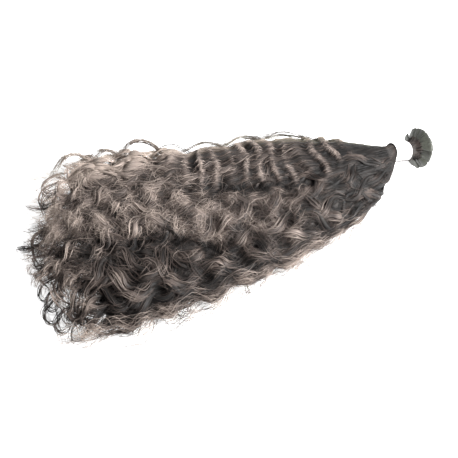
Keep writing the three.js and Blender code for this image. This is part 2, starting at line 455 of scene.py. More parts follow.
def tube_corners(points, outward_at, width, around, flat):
    """The corners of the rings round every strand, with its flat side facing outwards."""
    along = np.gradient(points, axis=1)
    along /= np.linalg.norm(along, axis=2, keepdims=True) + TINY
    side = np.cross(along, outward_at)
    side /= np.linalg.norm(side, axis=2, keepdims=True) + TINY
    top = np.cross(side, along)
    half = width[:, :, None, None] / 2
    cosines = np.cos(around)[None, None, :, None]
    sines = np.sin(around)[None, None, :, None]
    corners = points[:, :, None] + half * (side[:, :, None] * cosines + flat * top[:, :, None] * sines)
    corners[..., 2] = np.maximum(corners[..., 2], LOWEST)
    return corners


# %% Work out the faces of tubes
def tube_faces(strands, count, sides):
    """The corner numbers of all walls and end caps, and the place where each face starts."""
    index = np.arange(strands * count * sides).reshape(strands, count, sides)
    here = index[:, :-1]
    there = index[:, 1:]
    walls = np.stack([here, there, np.roll(there, -1, axis=2), np.roll(here, -1, axis=2)], axis=-1)
    loops = np.concatenate([walls.ravel(), index[:, 0].ravel(), index[:, -1, ::-1].ravel()])
    cap_starts = walls.size + np.arange(2 * strands) * sides
    return loops, np.concatenate([np.arange(0, walls.size, 4), cap_starts])


# %% Place the grain of a lock's body
GRAIN_STRETCH = 0.05
GRAIN_APART = 37.0


def grain_places(points, width, around):
    """Where a lock's grain is drawn: across and through its body, and slowly along it."""
    run = np.cumsum(np.linalg.norm(np.diff(points, axis=1, prepend=points[:, :1]), axis=2), axis=1)
    apart = GRAIN_APART * np.arange(len(points))[:, None, None]
    grain = np.zeros((*points.shape[:2], len(around), 3))
    grain[..., 0] = 0.5 * width[:, :, None] * np.cos(around) + apart
    grain[..., 1] = 0.5 * width[:, :, None] * np.sin(around)
    grain[..., 2] = GRAIN_STRETCH * run[:, :, None]
    return grain


# %% Lay tubes out in the UV map
STRAND_SIDES = 3
BODY_SIDES = 8
STRIPS = {STRAND_SIDES: (256, 3), BODY_SIDES: (32, 1)}
STRIP_EDGE = 0.1
STRIP_END = 0.02


def strip_places(strands, count, sides):
    """The UV places of all face corners, in a strip for each strand, with a body's walls side by side."""
    columns, rows = STRIPS[sides]
    inner = 1 - 2 * STRIP_EDGE
    column = (np.arange(strands) % columns)[:, None, None, None]
    row = (np.arange(strands) // columns % rows)[:, None, None, None]
    ring = np.arange(count - 1)[None, :, None, None]
    wall = np.arange(sides)[None, None, :, None] if sides == BODY_SIDES else 0
    parts = sides if sides == BODY_SIDES else 1
    across = STRIP_EDGE + inner * (wall + np.array([0, 0, 1, 1])) / parts
    blank = np.zeros((strands, count - 1, sides, 4))
    run = (1 - 2 * STRIP_END) * (ring + np.array([0, 1, 1, 0]) + blank) / (count - 1)
    wall_u = (column + across + blank) / columns
    wall_v = (row + STRIP_END + run) / rows
    cap_u = (column[:, 0, 0] + STRIP_EDGE + inner * np.arange(sides) / sides) / columns
    root_v = np.repeat((row[:, 0, 0] + STRIP_END) / rows, sides, axis=1)
    tip_v = np.repeat((row[:, 0, 0] + 1 - STRIP_END) / rows, sides, axis=1)
    u = np.concatenate([wall_u.ravel(), cap_u.ravel(), cap_u.ravel()])
    v = np.concatenate([wall_v.ravel(), root_v.ravel(), tip_v.ravel()])
    return np.stack([u, v], axis=1)


# %% [markdown]
# ## Joining tubes to a piece
#
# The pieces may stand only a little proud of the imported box. A hard stop there would press stray hairs
# into a flat wall, so the further a point lies outside the box, the more it is held back.

# %% Build a piece from strand points
ROOM = 13
low_corner = np.array(cad_box[0]) / MM
high_corner = np.array(cad_box[1]) / MM
made_triangles = {}


def add_values(mesh, label, values):
    """Store one number for every vertex in the mesh."""
    mesh.attributes.new(label, "FLOAT", "POINT").data.foreach_set("value", values.astype(np.float32))


def strand_mesh(name, points, outward_at, width, tone, veil, sides=STRAND_SIDES, flat=0.7):
    """One piece of joined tubes. points is (strand, ring, xyz) in millimetres, width is (strand, ring)."""
    strands, count = points.shape[:2]
    around = np.radians(90) + 2 * np.pi * np.arange(sides) / sides
    boxed = np.clip(points, low_corner, high_corner)
    points = boxed + ROOM * np.tanh((points - boxed) / ROOM)
    corners = tube_corners(points, outward_at, width, around, flat)
    loops, starts = tube_faces(strands, count, sides)
    mesh = bpy.data.meshes.new(name)
    mesh.vertices.add(corners.size // 3)
    mesh.vertices.foreach_set("co", (corners * MM).ravel())
    mesh.loops.add(len(loops))
    mesh.loops.foreach_set("vertex_index", loops)
    mesh.polygons.add(len(starts))
    mesh.polygons.foreach_set("loop_start", starts)
    mesh.update(calc_edges=True)
    mesh.shade_smooth()
    add_values(mesh, "tone", np.repeat(tone.ravel(), sides))
    add_values(mesh, "veil", np.repeat(veil.ravel(), sides))
    if sides == BODY_SIDES:
        grain = grain_places(points, width, around)
        mesh.attributes.new("grain", "FLOAT_VECTOR", "POINT").data.foreach_set("vector", grain.ravel())
    strips = strip_places(strands, count, sides)
    mesh.uv_layers.new(name="OFBake").data.foreach_set("uv", strips.ravel())
    mesh.materials.append(body_finish if sides == BODY_SIDES else strand_finish)

    piece = bpy.data.objects.new(name, mesh)
    bpy.context.collection.objects.link(piece)
    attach(piece, "root")
    made_triangles[name] = strands * (2 * (count - 1) * sides + 2 * (sides - 2))
    print(f"{name}: {strands} strands, {made_triangles[name]} triangles")


# %% [markdown]
# ## Partings, crimps and tones
#
# Two lines divide the bundle. The parting runs along the crown, with a combed sheet of hair on its far side.
# The valley starts at the near edge and crosses towards the tail, with loose frizz above it and curls below
# it, which are painted darker as shade. The combed sheet is crimped: all its strands rise and fall together
# in ripples about 14 mm long, in three groups with calm hair between them. These helpers say where the lines
# run, how the ripple goes, and how much light and shade is painted into the colour of each part of the hair.

# %% Mark the partings and the crimped part
PARTING_AT = (0, 55, 102, 150, 198, 260, 330)
PARTING_ACROSS = (0.50, 0.49, 0.45, 0.53, 0.62, 0.70, 0.76)
VALLEY_AT = (120, 170, 260, 307, 360)
VALLEY_ACROSS = (0.10, 0.19, 0.40, 0.44, 0.60)
CRIMP_WAVE = 14.5
CRIMP_GAPS = (92, 163)
GAP_WIDTH = 11
SLANT_AT = (60, 130, 185)
SLANT = (-0.5, 0.4, 4.0)


def parting_line(distance):
    """Where across the hair the parting lies."""
    return np.interp(distance, PARTING_AT, PARTING_ACROSS)


def valley_line(distance):
    """Where across the hair the valley lies."""
    return np.interp(distance, VALLEY_AT, VALLEY_ACROSS)


def crimp_at(distance, across):
    """Height of the shared ripple, with narrow crests and wide troughs, and how strong it is there."""
    strength = ease(distance, 34, 58) * (1 - ease(distance, 190, 240))
    strength = strength * ease(across - parting_line(distance), -0.05, 0.05)
    strength = strength * (1 - 0.75 * ease(across, 0.84, 0.96))
    for gap in CRIMP_GAPS:
        strength = strength * (1 - 0.85 * np.exp(-((distance - gap) / GAP_WIDTH) ** 2))
    wide_patches = 0.3 * np.sin(distance / 17.3 + across * 6)
    fine_patches = 0.3 * np.sin(across * 31 - distance / 12)
    strength = strength * (0.95 + wide_patches + fine_patches)
    bend = 0.8 * np.sin(distance / 19 + across * 9) + 0.7 * np.sin(across * 23 + distance / 47)
    slant = np.interp(distance, SLANT_AT, SLANT)
    phase = 2 * np.pi * (distance / CRIMP_WAVE + slant * (across - 0.7)) + bend
    finer = 0.45 * np.cos(2 * phase + 0.7 * np.sin(distance / 31 + across * 4))
    return (np.sin(phase) - finer) / 1.1, strength


print("parting at 150 mm:", parting_line(150), "valley at 260 mm:", valley_line(260))


# %% Say how deep each place is, and how much light and shade is painted on it
def valley_at(distance, across):
    """1 in the two partings, where hair sinks and is painted in shade, and 0 away from them."""
    near = (across - valley_line(distance)) / 0.035
    far = (across - parting_line(distance)) / 0.032
    near_part = np.exp(-near * near) * ease(distance, 130, 170) * (1 - 0.6 * ease(distance, 320, 355))
    far_part = np.exp(-far * far) * ease(distance, 70, 95) * (1 - ease(distance, 190, 225))
    return np.maximum(near_part, far_part)


def clump_at(distance, across):
    """Lumps and dents of the loose hair, from -1 to 1, the same for all strands at a place."""
    side = across * 170
    total = np.sin(distance / 4.1 + side / 9.5)
    total = total + np.sin(distance / 6.7 - side / 4.6 + 2.0)
    total = total + np.sin(distance / 3.3 - side / 7.9 + 4.0)
    total = total + np.sin(side / 3.9 + distance / 11.0 + 1.0)
    loose = ease(distance, 0, 26) * (1 - 0.8 * ease(across - parting_line(distance), 0.0, 0.08))
    return np.tanh(0.8 * total) * loose


def painted_light_and_shade_at(distance, across):
    """Painted light and shade in each part of the bundle, as a change of tone."""
    valley = valley_line(distance)
    # Painted shade at the neck, below the valley and in the partings; painted light on the far corner, the
    # far edge and the ends; lumps painted lighter and dents darker. The crown is made a little lighter.
    neck = -0.22 * (1 - ease(distance, 30, 130))
    crown = 0.08 * ease(distance, 150, 210) * ease(across - valley, 0, 0.08) * (1 - ease(across, 0.66, 0.78))
    low = -0.13 * ease(distance, 130, 220) * ease(valley - across, 0, 0.06)
    corner = 0.46 * ease(distance, 180, 250) * ease(across, 0.72, 0.90)
    edge = 0.22 * ease(across, 0.86, 0.97) * ease(distance, 15, 60)
    ends = 0.28 * ease(distance, 320, 352)
    clumps = 0.12 * clump_at(distance, across)
    return neck + crown + low + corner + edge + ends + clumps - 0.30 * valley_at(distance, across)


# %% [markdown]
# ## Planning locks
#
# Wavy hair holds together in locks. A lock here is a thick body, painted darker as shade, with strands on it,
# and they all share one swing. The ends of the hair make a blunt, uneven line, so a short table says how far
# from the band the locks end at each place across. Every set below says what its locks are like, in
# millimetres and degrees:
# - depth: how far they lie under the outer form
# - spread and height: the size of a lock across and through it
# - swing and swing_from: how far a lock swings off its course, and where that starts and is full
# - wave and roll: how far it is from bend to bend, and how far a lock rises and sinks as it swings
# - frizz and hook: how far single strands waver, and how far the end of a lock turns
# - width, tone and tone_spread: a strand's width, how light it is and how much that differs
# - in_step: how many turns a lock is out of step with the one beside it
# LOCK_EXTRAS holds what only some of the sets change.

# %% List what only some sets change
LOCK_EXTRAS = {
    "begin": (-7, -7),  # where locks start, least and most, in mm from the band
    "end_shift": (0, 0),  # how far past the line of ends they stop, in mm
    "length": None,  # the least and most length of short locks, in mm
    "twist": 0.0,  # turns of the strands round each other, in 100 mm
    "lock_spread": 0.07,  # how much the tone differs from lock to lock
    "crimp": 0.0,  # how far the shared ripple lifts a strand, in mm
    "rise": 0.0,  # how much deeper a lock starts than it runs on, in mm
    "stray": 0.16,  # how far a strand is out of step with its lock, in radians
    "ringlet": 1.0,  # 1 lifts a lock as a ringlet does, 0 as a flat wave does
    "first_turn": 0.0,  # how many turns the first lock is ahead
    "calm": 0.0,  # share of the roll that is taken out away from the far edge
}
print("values with a default:", ", ".join(LOCK_EXTRAS))

# %% Plan the locks of a set
END_ACROSS = (0.0, 0.05, 0.12, 0.22, 0.33, 0.44, 0.55, 0.63, 0.70, 0.78, 0.90, 1.0)
END_AT = (334, 346, 352, 353, 358, 370, 383, 374, 350, 338, 324, 316)


def plan_locks(style, random):
    """The place, size and swing of every lock of a set."""
    locks = style.locks
    near, far = style.across
    across = np.linspace(near, far, locks) + random.normal(0, 0.3, locks) * (far - near) / locks
    begin = random.uniform(*style.begin, locks)
    end = np.interp(across, END_ACROSS, END_AT) + random.uniform(*style.end_shift, locks)
    if style.length:
        end = np.minimum(end, begin + random.uniform(*style.length, locks))
    return {
        "across": across,
        "begin": begin,
        "end": end,
        "wave": random.uniform(*style.wave, locks),
        "ahead": style.first_turn + np.cumsum(random.normal(0, style.in_step, locks)),
        "depth": random.uniform(*style.depth, locks),
        "swing": np.radians(style.swing) * random.uniform(0.7, 1.2, locks),
        "hook": np.radians(style.hook) * random.choice([-1, 1], locks) * random.uniform(0.4, 1.2, locks),
        "twist": style.twist * random.choice([-1, 1], locks) * random.uniform(0.7, 1.3, locks),
        "tone": random.normal(0, style.lock_spread, locks),
        "hand": random.choice([-1, 1], locks),
    }


print("locks end", min(END_AT), "to", max(END_AT), "mm from the band")

# %% Start the strands of every lock
ENDS_DIFFER = 4
SHORTEST = 20
SLOW_WAVE = (80, 190)


def smooth_noise(random, group, distance, waves):
    """A slow random wave, alike for all strands of a group, made of three sine waves of random length."""
    total = np.zeros_like(distance)
    for _ in range(3):
        length = random.uniform(waves[0], waves[1], group.max() + 1)[group][:, None]
        phase = random.uniform(0, 2 * np.pi, group.max() + 1)[group][:, None]
        total += np.sin(2 * np.pi * distance / length + phase)
    return total / 1.7


def start_strands(style, random):
    """The body and the strands of every lock, a row each, with the swing that they share."""
    lock = np.repeat(np.arange(style.locks), style.strands + 1)
    plan = plan_locks(style, random)
    hair = SimpleNamespace(**{label: values[lock][:, None] for label, values in plan.items()})
    hair.one_each = (len(lock), 1)
    hair.single = np.arange(len(lock))
    hair.body = hair.single % (style.strands + 1) == 0
    hair.free = np.where(hair.body, 0.0, 1.0)[:, None]
    scattered = style.begin[1] > style.begin[0]
    hair.begin = hair.begin + hair.free * random.uniform(-ENDS_DIFFER, ENDS_DIFFER, hair.one_each) * scattered
    hair.end = hair.end + hair.free * random.normal(0, ENDS_DIFFER, hair.one_each)
    hair.end = np.maximum(hair.end, hair.begin + SHORTEST)
    hair.share = np.linspace(0, 1, style.steps)[None, :]
    hair.rough = hair.begin + hair.share * (hair.end - hair.begin)
    hair.to_end = hair.end - hair.rough
    phase = 2 * np.pi * (hair.rough / hair.wave + hair.ahead)
    phase = phase + hair.free * random.normal(0, style.stray, hair.one_each)
    hair.phase = phase + 0.8 * style.ringlet * smooth_noise(random, lock, hair.rough, SLOW_WAVE)
    hair.strength = ease(hair.rough, *style.swing_from)
    return hair


# %% [markdown]
# ## Bending locks
#
# A lock is drawn the way a river bends: its heading swings to and fro, and adding up the headings gives the
# path. Stronger swings give rounder curls, without any curve by hand, and a last strong turn makes the
# hooked ends. Each strand adds a little frizz of its own and winds round the middle of its lock.

# %% Bend the strands along the flow
HOOK_LENGTH = 40
GATHER_LENGTH = 80
TWIST_LENGTH = 15.9
FRIZZ_WAVE = (9, 34)
EDGE_PULL = 0.55
NARROWEST = 60


def bend_strands(style, random, hair):
    """Give every strand its distances from the band and its places across."""
    rim = (1 - ease(hair.across, 0.05, 0.20)) * (1 - 0.6 * ease(hair.rough, 170, 270))
    lock_heading = hair.swing * hair.strength * (1 - 0.75 * rim) * np.sin(hair.phase)
    lock_heading += hair.hook * (1 - ease(hair.to_end, 0, HOOK_LENGTH)) ** 2
    waver = smooth_noise(random, hair.single, hair.rough, FRIZZ_WAVE) * hair.free
    heading = lock_heading + np.radians(style.frizz) * (0.4 + 0.6 * hair.strength) * waver

    run = np.cumsum(np.cos(heading), axis=1)
    drift = np.cumsum(np.sin(heading), axis=1)
    pace = (hair.end - hair.begin) / (run.max(axis=1, keepdims=True) - run[:, :1])
    distance = hair.begin + (run - run[:, :1]) * pace
    sideways = (drift - drift.mean(axis=1, keepdims=True) * hair.strength) * pace

    turn = random.uniform(0, 2 * np.pi, hair.one_each) + hair.twist * hair.rough / TWIST_LENGTH
    narrowing = 1 - 0.75 * (1 - ease(hair.to_end, 0, GATHER_LENGTH))
    hair.gather = narrowing * width_at(hair.rough) / section_width.max()
    from_middle = np.sqrt(random.uniform(0.35, 1.4, hair.one_each) * hair.free) * hair.gather
    offset = from_middle * np.cos(turn) * style.spread / 2
    hair.bulge = from_middle * np.sin(turn) * style.height / 2 * ease(hair.rough, 25, 90)
    hair.distance = distance - offset * np.sin(lock_heading)
    sideways = sideways + offset * np.cos(lock_heading)
    place = hair.across + sideways / np.maximum(width_at(hair.distance), NARROWEST)
    hair.place = place - EDGE_PULL * (place - np.clip(place, 0.01, 0.99))


# %% [markdown]
# ## Lifting and toning locks
#
# On the flow a strand would be flat, so it is lifted off it: by its lock, which rolls as it swings, by the
# shared ripple and clumps, and by a slow waver of its own. It sinks in the partings and where it runs into
# the band. What lifts a strand also lightens its colour, a painted highlight like the light on the crest of
# a real wave, and what sinks it darkens its colour, as painted shade.

# %% Lift the strands
OFF_TABLE = 0.5
START_LENGTH = 40
VALLEY_DEPTH = 3.0
CLUMP_HEIGHT = 1.2
WAVER_HEIGHT = 0.5
WAVER_WAVE = (20, 70)


def lift_strands(style, random, hair):
    """Give every strand its points."""
    out_of_step = hair.free * random.normal(0, 0.9, hair.one_each)
    ripple, ripple_strength = crimp_at(hair.distance + out_of_step, hair.place)
    hair.ripple = style.crimp * ripple * ripple_strength
    uneven = hair.free * random.uniform(-0.6, 0.6, hair.one_each)
    sunk = 0.5 + (hair.depth + uneven) * ease(hair.distance, 20, 85)
    sunk = sunk + (0.3 + 2.2 * hair.body[:, None]) * (1 - ease(hair.distance, -2, 12))
    sunk = sunk + style.rise * (1 - ease(hair.rough - hair.begin, 0, START_LENGTH))
    hair.sunk = sunk + VALLEY_DEPTH * valley_at(hair.distance, hair.place)
    curl = style.ringlet * hair.hand * np.sin(hair.phase) + (1 - style.ringlet) * np.cos(hair.phase)
    hair.curl = curl * hair.strength * (1 - style.calm * (1 - ease(hair.place, 0.72, 0.88)))
    lift = hair.bulge - hair.sunk + style.roll * hair.curl
    waver = smooth_noise(random, hair.single, hair.rough, WAVER_WAVE) * hair.free
    lift = lift + WAVER_HEIGHT * waver * hair.strength + hair.ripple
    lift = lift + CLUMP_HEIGHT * clump_at(hair.distance, hair.place)
    points, hair.out = on_flow(hair.distance, hair.place)
    hair.points = points + hair.out * lift[..., None]
    hair.points[..., 2] = np.maximum(hair.points[..., 2], OFF_TABLE)


# %% Give the strands their tones, with painted light and shade
# Painted highlights on ripple crests, rolled-up curls and lock tops, painted shade on hair that sinks, and
# painted light on the far flank.
RIPPLE_PAINTED_LIGHT = 0.135
DEPTH_PAINTED_SHADE = 0.02
ROLL_PAINTED_LIGHT = 0.055
BULGE_PAINTED_LIGHT = 0.03
FLANK_PAINTED_LIGHT = 0.2


def tone_strands(style, random, hair):
    """Give every strand its tones, with painted light and shade, and its painted backlight on the far flank.
    """
    away = hair.out[..., 1]
    # The far flank, which gets painted light and the painted backlight.
    flank = ease(away, 0.42, 0.74) * (1 - ease(away, 0.80, 0.93)) * ease(hair.distance, 4, 24)
    tones = style.tone + hair.tone + hair.free * random.normal(0, style.tone_spread, hair.one_each)
    tones = tones + RIPPLE_PAINTED_LIGHT * hair.ripple - DEPTH_PAINTED_SHADE * hair.sunk
    tones = tones + ROLL_PAINTED_LIGHT * style.roll * hair.curl + BULGE_PAINTED_LIGHT * hair.bulge
    tones = tones + painted_light_and_shade_at(hair.distance, hair.place) + FLANK_PAINTED_LIGHT * flank
    hair.tones = np.clip(tones, 0.02, 1)
    # The painted backlight: light that comes through the thin far flank, painted in as olive.
    hair.veil = 0.26 * flank * (1 - 0.6 * ease(hair.distance, 80, 150))


# %% Lay one set of locks
BODY_SHARE = 0.66
# A lock's body is painted darker, as the shade inside the lock.
BODY_PAINTED_SHADE = 0.20
BODY_TIP = 12


def lay_locks(name, seed, **changes):
    """Two pieces, the bodies of a set of locks and the strands on them."""
    style = SimpleNamespace(**{**LOCK_EXTRAS, **changes})
    random = np.random.default_rng(seed)
    hair = start_strands(style, random)
    bend_strands(style, random, hair)
    lift_strands(style, random, hair)
    tone_strands(style, random, hair)
    taper = 0.45 + 0.55 * (1 - ease(hair.share, 0.9, 1.0))
    width = style.width * random.uniform(0.75, 1.25, hair.one_each) * taper
    body_width = BODY_SHARE * style.spread * hair.gather * (1 - 0.8 * (1 - ease(hair.to_end, 0, BODY_TIP)))
    body_width = body_width * (0.3 + 0.7 * ease(hair.rough - hair.begin, 0, START_LENGTH))
    body = hair.body
    strand_mesh(name + "_bodies", hair.points[body], hair.out[body], body_width[body],
                hair.tones[body] - BODY_PAINTED_SHADE, hair.veil[body], BODY_SIDES, style.height / style.spread)
    rest = ~body
    strand_mesh(name, hair.points[rest], hair.out[rest], width[rest], hair.tones[rest], hair.veil[rest])


# %% [markdown]
# ## The combed far sheet
#
# On the far side the hair is combed flat and crimped, and only towards the tail does it break into curls.
# Wide locks that overlap make one even sheet, so that the ripples run on from lock to lock.

# %% Comb the far sheet
lay_locks("far_sheet", 11, locks=18, strands=10, steps=124, across=(0.62, 0.965), end_shift=(-26, 6),
          depth=(0, 1.6), spread=14, height=3, swing=40, swing_from=(165, 225), wave=(38, 38.6), roll=7.0,
          frizz=13, hook=150, width=0.65, tone=0.455, lock_spread=0.06, tone_spread=0.09, crimp=2.2,
          in_step=0.02, ringlet=0.0, first_turn=-0.27, calm=0.85)

# %% [markdown]
# ## Locks along the parting
#
# Where the sheet meets the loose crown, its edge frays. Locks as wide and as crimped as the sheet's lie along
# the parting there, but each has bends of its own length, and they end early, under the frizz.

# %% Lay locks along the parting
lay_locks("parting_locks", 14, locks=9, strands=9, steps=92, across=(0.45, 0.63), length=(215, 265),
          depth=(0, 2), spread=14, height=3, swing=40, swing_from=(165, 225), wave=(30, 43), roll=2, frizz=8,
          hook=120, width=0.65, tone=0.40, lock_spread=0.06, tone_spread=0.08, crimp=2.2, in_step=0.3)

# %% [markdown]
# ## The near curls
#
# The near side falls in fat curls, like ribbons that turn as they swing. Each lock is narrow and thick, its
# strands twist round each other, and the whole lock rises and sinks as it swings. No two locks swing in step.

# %% Curl the near locks
lay_locks("near_curls", 12, locks=20, strands=17, steps=82, across=(0.015, 0.46), end_shift=(-34, 6),
          depth=(0.5, 6), spread=11, height=7, twist=0.45, swing=70, swing_from=(-6, 40), wave=(36, 54),
          roll=3.2, frizz=9, hook=130, width=0.66, tone=0.41, lock_spread=0.10, tone_spread=0.05, stray=0.15,
          in_step=0.45, ringlet=0.8)

# %% [markdown]
# ## The crown
#
# Between the combed sheet and the near curls the hair is loose and rough, so its locks have more frizz.

# %% Fill the crown
lay_locks("crown_locks", 13, locks=22, strands=11, steps=70, across=(0.34, 0.74), end_shift=(-28, 4),
          depth=(1, 5), spread=11, height=5, twist=0.6, swing=50, swing_from=(14, 100), wave=(26, 44),
          roll=3.0, frizz=24, hook=120, width=0.52, tone=0.40, tone_spread=0.08, in_step=0.4,
          ringlet=0.7)

# %% [markdown]
# ## The tail
#
# Towards its ends the hair spreads out into clumps that curl up on themselves. Extra locks start under the
# others there, with many strands close together, and end in tight hooks.

# %% Thicken the tail
lay_locks("tail_locks", 41, locks=24, strands=14, steps=52, across=(0.055, 0.83), begin=(190, 260),
          end_shift=(-22, 6), depth=(0, 6), spread=9, height=6, twist=0.6, swing=70, swing_from=(100, 160),
          wave=(34, 52), roll=3.6, frizz=9, hook=140, width=0.7, tone=0.42, lock_spread=0.12,
          tone_spread=0.06, rise=7.0, stray=0.2, in_step=0.45)

# %% [markdown]
# ## Loops on the far edge
#
# The far edge of the tail is not smooth: fat locks roll up and down along it, with light on their crests.
# They start deep and rise out of the sheet.

# %% Raise the loops
lay_locks("far_loops", 16, locks=8, strands=9, steps=52, across=(0.80, 0.985), begin=(170, 270),
          end_shift=(-20, 4), length=(70, 130), depth=(-4, 1), spread=7, height=4.5, twist=0.5, swing=62,
          swing_from=(100, 160), wave=(34, 46), roll=4.0, frizz=8, hook=190, width=0.6, tone=0.50,
          lock_spread=0.08, tone_spread=0.05, rise=9.0, in_step=0.3, ringlet=0.5)

# %% [markdown]
# ## Loose hairs
#
# Many hairs don't belong to a lock: short broken ones make the crown look soft, and long ones stand off
# along the edges. Blender's particle hair could scatter them, but they have to follow the same flow and
# tones as the locks. So each starts at a place of its own on the flow and wanders from there.

# %% Draw single loose hairs
HAIR_OFF_TABLE = 0.4
HAIR_WAVE = (12, 30)
DIP = 1.2


def loose_hairs(name, random, begin, place, steps, length, heading, bend, arch, width, tone,
                tone_spread=0.1, upright=0.0, curl=0.0, wander=0.3):
    """Single hairs that start at given places and lie over the locks, with angles in degrees."""
    count = len(begin)
    share = np.linspace(0, 1, steps)[None, :]
    size = random.uniform(length[0], length[1], count)[:, None]
    turn = heading * random.uniform(-1, 1, count)[:, None]
    turn = turn + bend * random.normal(0, 1, count)[:, None] * (share - 0.5)
    turn = np.radians(turn + curl * share ** 2)
    turn = turn + wander * smooth_noise(random, np.arange(count), share * size, HAIR_WAVE)
    stride = size / (steps - 1)
    distance = begin[:, None] + np.cumsum(np.cos(turn), axis=1) * stride
    sideways = np.cumsum(np.sin(turn), axis=1) * stride
    across = place[:, None] + sideways / np.maximum(width_at(distance), NARROWEST)
    lift = random.uniform(arch[0], arch[1], count)[:, None] * np.sin(np.pi * share) ** 0.7
    lift = lift + random.uniform(-1.0, 0.6, count)[:, None] - DIP + CLUMP_HEIGHT * clump_at(distance, across)
    points, out = on_flow(distance, across)
    rise = out * (1 - upright) + np.array([0, 0, upright])
    points = points + rise * lift[..., None]
    points[..., 2] = np.maximum(points[..., 2], HAIR_OFF_TABLE)
    widths = width * random.uniform(0.7, 1.3, count)[:, None] * (1 - 0.6 * ease(share, 0.6, 1.0))
    # The tones take the painted light and shade of their place, lumps are painted lighter, and the far edge
    # gets the painted backlight.
    tones = tone + random.normal(0, tone_spread, count)[:, None] + painted_light_and_shade_at(distance, across)
    tones = tones + 0.08 * clump_at(distance, across)
    veil = 0.4 * ease(across, 0.92, 1.0)
    strand_mesh(name, points, out, widths, np.clip(tones, 0.05, 1), veil)


# %% [markdown]
# ## Frizz on the crown
#
# Between the valley and the parting the crown is covered with short broken hairs that lie in every
# direction, denser and lighter towards the tail. Each gets a random place between the two lines.

# %% Scatter the frizz over the crown
FRIZZ_HAIRS = 1980
random = np.random.default_rng(20)
begin = 95 + 255 * random.uniform(0, 1, FRIZZ_HAIRS) ** 0.75
low = valley_line(begin) + 0.03
high = parting_line(begin) - 0.05 + 0.16 * ease(begin, 180, 230)
place = low + (high - low) * random.uniform(0, 1, FRIZZ_HAIRS)
frizz_tone = 0.46 + 0.18 * ease(begin, 140, 230)
loose_hairs("crown_frizz", random, begin, place, steps=8, length=(12, 32), heading=180, bend=90,
            arch=(0.5, 4.0), width=0.36, tone=frizz_tone[:, None], tone_spread=0.16)

# %% [markdown]
# ## Ruffle on the near curls
#
# With their own strands only, the near curls would look combed. Fine hairs that cross them at a slant break
# up their even surface.

# %% Ruffle the near curls
RUFFLE_HAIRS = 400
random = np.random.default_rng(23)
begin = random.uniform(20, 340, RUFFLE_HAIRS)
place = 0.02 + 0.95 * (valley_line(begin) + 0.12) * random.uniform(0, 1, RUFFLE_HAIRS)
loose_hairs("near_ruffle", random, begin, place, steps=10, length=(16, 44), heading=45, bend=100,
            arch=(0.5, 4.5), width=0.36, tone=0.50, tone_spread=0.16)

# %% [markdown]
# ## Fuzz at the ends
#
# The line of ends isn't clean. Short hairs start a little before it and lie at many angles, and some run
# past it, so that the outline frays.

# %% Fray the ends
END_HAIRS = 360
random = np.random.default_rng(26)
place = random.uniform(0.24, 0.70, END_HAIRS)
begin = np.interp(place, END_ACROSS, END_AT) - random.uniform(16, 58, END_HAIRS)
loose_hairs("end_fuzz", random, begin, place, steps=8, length=(16, 36), heading=60, bend=90,
            arch=(0.5, 6.0), width=0.4, tone=0.34, tone_spread=0.14)

# %% [markdown]
# ## Fuzz on the near edge
#
# Against the bright table the near edge has a pale halo of fine hairs. They are long, thin and light, and
# they run nearly along the edge.

# %% Soften the near edge
FUZZ_HAIRS = 400
random = np.random.default_rng(25)
begin = random.uniform(30, 340, FUZZ_HAIRS)
place = random.normal(0.016, 0.012, FUZZ_HAIRS)
loose_hairs("near_fuzz", random, begin, place, steps=12, length=(22, 58), heading=20, bend=60,
            arch=(0.5, 8.0), width=0.34, tone=0.88, tone_spread=0.12)

# %% [markdown]
# ## Wisps along the near edge
#
# Some thin wisps have slipped from the near edge onto the table. They still hold together, so they are small
# locks with a few strands each.

# %% Lay wisps along the near edge
lay_locks("near_wisps", 17, locks=16, strands=5, steps=44, across=(-0.005, 0.03), begin=(30, 250),
          length=(60, 110), depth=(1, 5), spread=4, height=2, twist=0.4, swing=58, swing_from=(-40, 20),
          wave=(28, 42), roll=2, frizz=14, hook=170, width=0.5, tone=0.56, tone_spread=0.08, in_step=0.45)

# %% [markdown]
# ## Flyaways
#
# Along both edges single hairs stand off, more of them on the near side. They belong to no lock, so they are
# drawn as loose hairs.

# %% Let some hairs stand off
FLYAWAYS = 230
NEAR_SHARE = 0.6
random = np.random.default_rng(21)
begin = random.uniform(15, 345, FLYAWAYS)
near_place = random.normal(0.0, 0.012, FLYAWAYS)
far_place = random.normal(0.985, 0.012, FLYAWAYS)
place = np.where(random.uniform(0, 1, FLYAWAYS) < NEAR_SHARE, near_place, far_place)
loose_hairs("flyaways", random, begin, place, steps=16, length=(18, 70), heading=22, bend=70,
            arch=(0.4, 6.0), width=0.36, tone=0.60)

# %% [markdown]
# ## Arches on the far edge
#
# A few thin locks spring up from the far edge in open arches, low near the neck and taller towards the tail.
# Each is a handful of hairs that start and end close together, so a short table gives the place, the size
# and the number of hairs of every arch, in millimetres.

# %% Spring the arches
ARCHES = (
    ("start", "length", "height", "hairs"),
    (62, 70, 12, 22),
    (112, 56, 11, 16),
    (152, 50, 11, 14),
    (192, 34, 13, 8),
    (218, 42, 25, 26),
    (262, 28, 18, 16),
    (292, 40, 24, 22),
)


def columns_of(table):
    """The columns under a table's headings, with each row repeated by the number in its last column."""
    *columns, hairs = zip(*table[1:])
    return [np.repeat(column, hairs) for column in columns]


random = np.random.default_rng(22)
start, size, height = columns_of(ARCHES)
begin = start + random.normal(0, 1.5, len(start))
place = 0.97 - 0.025 * ease(begin, 120, 200) + random.normal(0, 0.008, len(start))
arch_tone = 0.06 + 0.24 * (1 - ease(begin, 150, 200))
loose_hairs("far_arches", random, begin, place, steps=20, length=(0.92 * size, 1.08 * size), heading=9,
            bend=14, arch=(0.8 * height, 1.05 * height), width=0.66, tone=arch_tone[:, None], upright=0.7,
            wander=0.14)

# %% [markdown]
# ## Hooks at the ends
#
# The ends of the locks are not cut: they curl back on themselves in open hooks, with light between the
# hairs. A table again gives every hook, with how far it turns from its root to its tip, in degrees.

